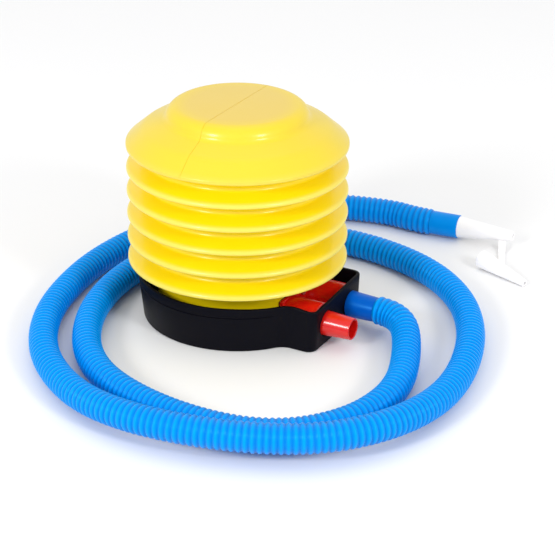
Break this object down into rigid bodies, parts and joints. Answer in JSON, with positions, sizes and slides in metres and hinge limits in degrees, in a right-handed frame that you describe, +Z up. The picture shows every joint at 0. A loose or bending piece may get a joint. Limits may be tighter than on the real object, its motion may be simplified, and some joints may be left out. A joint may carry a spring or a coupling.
{
  "type": "bellows air pump",
  "caption": "Round bellows air pump pressed by foot or hand, with a blow port on a long corrugated hose, an open suck port, a push-in nozzle and a tethered spare.",
  "frame": {"origin": "on the floor, on the axis of the bellows, under the middle of the base's round part", "axes": "+Z up along the bellows and the pedal's travel; +X from the bellows towards the ends of the two ports"},
  "size_m": [0.3194, 0.3944, 0.1518],
  "materials": {
    "yellow_polyethylene": "satin, blow-moulded",
    "black_polypropylene": "satin, injection-moulded",
    "zinc_steel": "zinc plated",
    "spring_steel": "drawn wire",
    "gasket_rubber": "flat sheet",
    "flap_rubber": "moulded",
    "red_plastic": "gloss, injection-moulded",
    "white_plastic": "satin",
    "white_polyethylene": "satin, waxy",
    "blue_hose": "satin, corrugated"
  },
  "bodies": {
    "base": {"bellows_folds": "yellow_polyethylene", "bellows_neck": "yellow_polyethylene", "base_shell": "black_polypropylene", "clip_ring": "black_polypropylene", "ring_screws": "zinc_steel", "spring_seat": "black_polypropylene", "return_spring": "spring_steel", "port_gasket": "gasket_rubber", "backing_plate": "black_polypropylene", "clamp_screws": "zinc_steel", "valve_body": "red_plastic", "valve_cover": "red_plastic", "cover_screws": "zinc_steel", "suck_seat": "white_plastic", "blow_seat": "white_plastic", "flap_pins": "spring_steel", "pump_cuff": "blue_hose", "hose_tube": "blue_hose", "end_cuff": "blue_hose", "nozzle": "white_polyethylene", "spare_nozzle": "white_polyethylene", "nozzle_strap": "white_polyethylene"},
    "pedal": {"bellows_lid": "yellow_polyethylene", "tread_plate": "black_polypropylene"},
    "suck_valve": {"suck_flap": "flap_rubber"},
    "blow_valve": {"blow_flap": "flap_rubber"}
  },
  "joints": [
    {"name": "pedal_press", "type": "slide", "parent": "base", "child": "pedal", "axis": [0, 0, -1], "range_m": [0, 0.06], "stiffness_N_per_m": 1200, "springref_m": -0.01, "deforming": ["bellows_folds", "return_spring"]},
    {"name": "suck_flap_hinge", "type": "hinge", "parent": "base", "child": "suck_valve", "pos_m": [0.0667, -0.017, 0.0244], "axis": [0, 1, 0], "range_deg": [0, 42], "stiffness_Nm_per_rad": 0.0002, "springref_deg": -17.19},
    {"name": "blow_flap_hinge", "type": "hinge", "parent": "base", "child": "blow_valve", "pos_m": [0.0583, 0.017, 0.0244], "axis": [0, -1, 0], "range_deg": [0, 42], "stiffness_Nm_per_rad": 0.0002, "springref_deg": -17.19}
  ]
}
